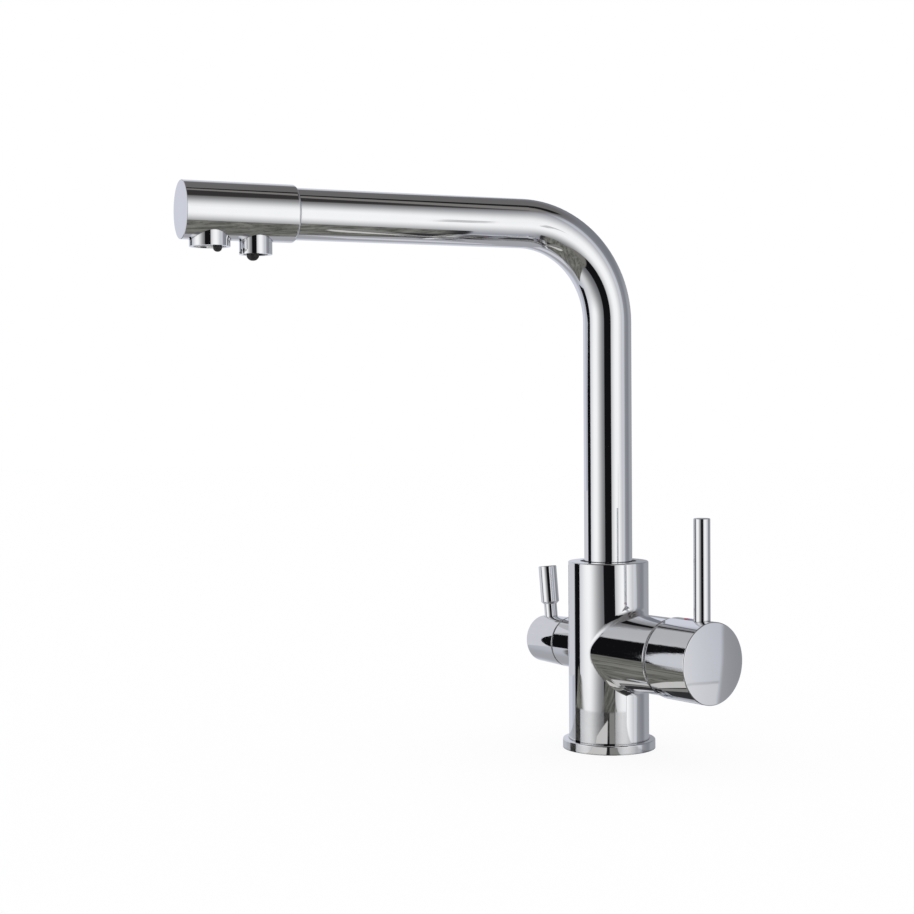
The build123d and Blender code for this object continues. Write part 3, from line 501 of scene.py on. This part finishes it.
def add_studio_room(studio):
    """The room around the tap: grey walls, a dark ceiling with beams, and two soft boxes with a
    dark gap between them. Turn is counted from the studio's middle towards the photograph's right,
    and rise from the horizon upward."""
    radius, height = 8.0, 0.15
    room = new_object("studio_room", ball_mesh("studio_room", radius))
    room.location = (0, 0, height)
    room.rotation_euler = (0, 0, studio.front)
    nodes = new_finish("studio_room")
    x, y, z = nodes.parts(nodes.place())
    turn = x.math("ARCTAN2", y * -1) * degrees(1)
    rise = (z / radius).math("ARCSINE") * degrees(1)
    ragged = nodes.noise(nodes.place(), scale=2.2, detail=6.0, roughness=0.75) - 0.5
    walls = room_walls(nodes, turn, rise, ragged)
    lit_room = with_soft_boxes(nodes, turn, rise, walls, studio.lamp_level)
    colour = with_dark_gap(nodes, turn, rise, lit_room, ragged)
    # The walls, ceiling and beams glow in colours that hold their painted light and shade, in place of
    # being lit; the soft boxes are the lamps.
    cover(room, nodes.finish(nodes.light(colour)))
    reflected_only(room)


def add_dark_flag(studio):
    """A narrow black cloth hung at the left, with ragged borders. Higher up its left border leans
    inward."""
    distance, width, height, foot = 0.6, 0.3, 0.8, -0.1
    left_end, right_end, edge = -0.16, 0.085, 0.003
    lean_from, lean = 0.3, 0.8
    corners = [(-width / 2, 0, 0), (width / 2, 0, 0), (width / 2, 0, height), (-width / 2, 0, height)]
    flag = new_object("dark_flag", sheet_mesh("dark_flag", corners))
    heading = studio.front + studio.flag_turn
    flag.location = (distance * sin(heading), -distance * cos(heading), foot)
    flag.rotation_euler = (0, 0, heading)
    nodes = new_finish("dark_flag")
    along, _, up = nodes.parts(nodes.place())
    ragged = nodes.noise(nodes.place(), scale=190.0, detail=3.0, roughness=0.6) - 0.5
    left_border = ((up - lean_from + ragged * 0.22) * lean + left_end).at_least(left_end)
    inside_left = (along - left_border).rise(0.0, edge)
    inside_right = (along + ragged * 0.05).fall(right_end - edge, right_end)
    black = nodes.light(tint(0.005, 0.005, 0.006))
    cover(flag, nodes.finish(nodes.blend(inside_left * inside_right, nodes.clear(), black)))
    reflected_only(flag)


def add_pale_card():
    """A small pale card beside the filter knob, which keeps the dark flag out of it. It glows in its
    colour in place of being lit.
    """
    size = 0.12
    corner_place = (-0.123, -0.071, 0.025)
    corners = [(0, 0, 0), (0, size, 0), (0, size, size), (0, 0, size)]
    card = new_object("pale_card", sheet_mesh("pale_card", corners))
    card.location = corner_place
    nodes = new_finish("pale_card")
    paper = nodes.noise(nodes.place(), scale=60.0)
    colour = nodes.mix(paper, tint(0.57, 0.575, 0.62), tint(0.61, 0.615, 0.66))
    cover(card, nodes.finish(nodes.light(colour)))
    reflected_only(card)


def board_colour(nodes, place):
    """A dark board with long streaks and a few dark and pale veins."""
    streak = nodes.noise(nodes.stretched(place, (0.6, 5.0, 1.0)), scale=14.0, detail=4.0, roughness=0.6)
    swirl = nodes.noise(nodes.stretched(place, (0.5, 3.0, 1.0)), scale=22.0, roughness=0.6)
    board = nodes.mix(streak.rise(0.3, 0.7), tint(0.09, 0.09, 0.082), tint(0.22, 0.218, 0.198))
    dark_vein = swirl.window(0.45, 0.5, soft=0.02) * 0.6
    pale_vein = swirl.window(0.56, 0.58, soft=0.02) * 0.4
    return nodes.painted(board, ((dark_vein, tint(0.02, 0.02, 0.018)),
                                 (pale_vein, tint(0.4, 0.4, 0.37))))


def add_bench(studio):
    """The board that the tap stands on, as the chrome shows it. It is dull from above and a mirror
    at a glance, where it is polished. Its dull side glows in its colours in place of being lit. A
    round patch about the tap is worn and rougher, with painted light in a pale and a grey wedge in
    front, and painted shadow makes the board dark behind the tap and under the mixer handle."""
    lift, worn_radius = 0.0002, 0.165
    bench = new_object("bench", disc_mesh("bench", radius=0.7))
    bench.location = (0, 0, lift)
    nodes = new_finish("bench")
    place = nodes.place()
    x, y, _ = nodes.parts(place)
    front = x * sin(studio.front) - y * cos(studio.front)
    side = x * cos(studio.front) + y * sin(studio.front)
    lean = side / front.at_least(0.02)
    out = (x * x + y * y).math("SQRT")

    worn = out.fall(worn_radius - 0.01, worn_radius)
    # Painted light: a pale and a grey wedge on the worn patch in front of the tap, in place of the soft
    # boxes' light on the board.
    pale_painted_light = worn * lean.window(-0.6, -0.05, soft=0.03) * (out - lean * 0.11).fall(0.136, 0.142)
    grey_painted_light = worn * lean.window(0.0, 0.27, soft=0.03)
    # Painted shadow: the board is darkened behind the tap and under the mixer handle.
    painted_shadow_behind = y.rise(-0.02, 0.0)
    painted_shadow_under_handle = x.window(0.01, 0.1, soft=0.02) * y.rise(-0.07, -0.04)
    colour = nodes.painted(board_colour(nodes, place), (
        (painted_shadow_behind.at_least(painted_shadow_under_handle), tint(0.03, 0.03, 0.032)),
        (pale_painted_light, tint(0.55, 0.54, 0.53)),
        (grey_painted_light, tint(0.21, 0.21, 0.2)),
    ))
    # The board's dull side glows in its colours in place of being lit.
    dull = nodes.light(colour)
    gloss = nodes.add("ShaderNodeBsdfGlossy", {},
                      {"Color": tint(0.95, 0.95, 0.95), "Roughness": worn * 0.17 + 0.03})

    glance = nodes.add("ShaderNodeLayerWeight", {}, {"Blend": 0.5}, "Facing")
    middle = side.window(-0.06, 0.065, soft=0.012)
    polish = front.rise(0.02, 0.07) * (1 - middle * 0.75) * (1 - worn)
    worn_polish = worn * (1 - pale_painted_light.at_least(grey_painted_light)) * 0.78
    mirror = glance.rise(0.62, 0.84) * polish + glance.rise(0.7, 0.8) * worn_polish
    board = nodes.blend(mirror, dull, gloss)
    outline = x.window(-0.25, 0.26, soft=0.006) * y.window(-0.25, 0.012, soft=0.006)
    shown = outline * front.rise(-0.038, -0.034)
    cover(bench, nodes.finish(nodes.blend(shown, nodes.clear(), board)))
    reflected_only(bench)


# ---------------------------------------------------------------- camera and daylight
def add_camera(studio):
    """The camera at the photograph's viewing angle."""
    sensor_millimetres, farthest = 36.0, 100.0
    camera = bpy.data.cameras.new("photo_camera")
    camera.sensor_width = sensor_millimetres
    camera.lens = studio.lens
    camera.clip_end = farthest
    holder = new_object("photo_camera", camera)
    turn = Matrix.Rotation(studio.camera_turn, 4, "Z")
    tilt = Matrix.Rotation(pi / 2 - studio.camera_tilt, 4, "X")
    roll = Matrix.Rotation(studio.camera_roll, 4, "Z")
    holder.matrix_world = Matrix.Translation(studio.camera_place) @ turn @ tilt @ roll
    bpy.context.scene.camera = holder


def add_daylight():
    """Even white light from all around."""
    world = bpy.data.worlds.new("plain_daylight")
    nodes = Nodes(world)
    light = nodes.add("ShaderNodeBackground", {}, {"Color": WHITE, "Strength": 1.0})
    nodes.add("ShaderNodeOutputWorld", {}, {"Surface": light})
    world.cycles.sampling_method = "NONE"
    bpy.context.scene.world = world


# ---------------------------------------------------------------- operators
class TapStep(bpy.types.Operator):
    """One step of dressing the tap."""
    bl_options = {"REGISTER", "UNDO"}


class TAP_OT_chrome(TapStep):
    """Dresses the outer pieces in polished chrome."""
    bl_idname = "tap.chrome"
    bl_label = "Chrome pieces"

    def execute(self, context):
        dress(CHROME_NODES, chrome_finish(context.scene.tap_finishes))
        return {"FINISHED"}


class TAP_OT_inner(TapStep):
    """Dresses the pieces inside the tap, the seals and the index mark."""
    bl_idname = "tap.inner"
    bl_label = "Inner pieces"

    def execute(self, context):
        finishes = context.scene.tap_finishes
        dress(BRASS_NODES, brass_finish(finishes))
        dress(STEEL_NODES, steel_finish(finishes))
        dress(RUBBER_NODES, rubber_finish(finishes))
        dress(PALE_PLASTIC_NODES, plastic_finish("pale_plastic", finishes.pale_plastic, roughness=0.35))
        dress(DARK_PLASTIC_NODES, plastic_finish("dark_plastic", finishes.dark_plastic, roughness=0.4))
        dress(WATER_TUBE_NODES, plastic_finish("water_tube_plastic", finishes.water_tube, roughness=0.25))
        dress(CERAMIC_NODES, ceramic_finish(finishes))
        dress(HOT_NODES, index_finish("index_red", finishes.hot))
        dress(COLD_NODES, index_finish("index_blue", finishes.cold))
        return {"FINISHED"}


class TAP_OT_stage(TapStep):
    """Adds the camera, the daylight, the floor and what the chrome reflects: a room, a dark cloth,
    a pale card and the board under the tap."""
    bl_idname = "tap.stage"
    bl_label = "Studio"

    def execute(self, context):
        studio = context.scene.tap_studio
        add_camera(studio)
        add_daylight()
        add_floor(studio)
        add_studio_room(studio)
        add_dark_flag(studio)
        add_pale_card()
        add_bench(studio)
        context.scene.view_settings.view_transform = "Standard"
        return {"FINISHED"}


class TAP_PT_panel(bpy.types.Panel):
    """Lists the steps in the sidebar."""
    bl_label = "Three way tap"
    bl_space_type = "VIEW_3D"
    bl_region_type = "UI"
    bl_category = "Tap"

    def draw(self, context):
        for step in STEPS:
            self.layout.operator(step.bl_idname, text=step.bl_label)


STEPS = (TAP_OT_chrome, TAP_OT_inner, TAP_OT_stage)
CLASSES = (TapFinishes, TapStudio) + STEPS + (TAP_PT_panel,)


def register():
    for entry in CLASSES:
        bpy.utils.register_class(entry)
    bpy.types.Scene.tap_finishes = bpy.props.PointerProperty(type=TapFinishes)
    bpy.types.Scene.tap_studio = bpy.props.PointerProperty(type=TapStudio)


def unregister():
    del bpy.types.Scene.tap_finishes
    del bpy.types.Scene.tap_studio
    for entry in reversed(CLASSES):
        bpy.utils.unregister_class(entry)


def main():
    register()
    for step in STEPS:
        group, name = step.bl_idname.split(".")
        getattr(getattr(bpy.ops, group), name)()


if __name__ == "__main__":
    main()
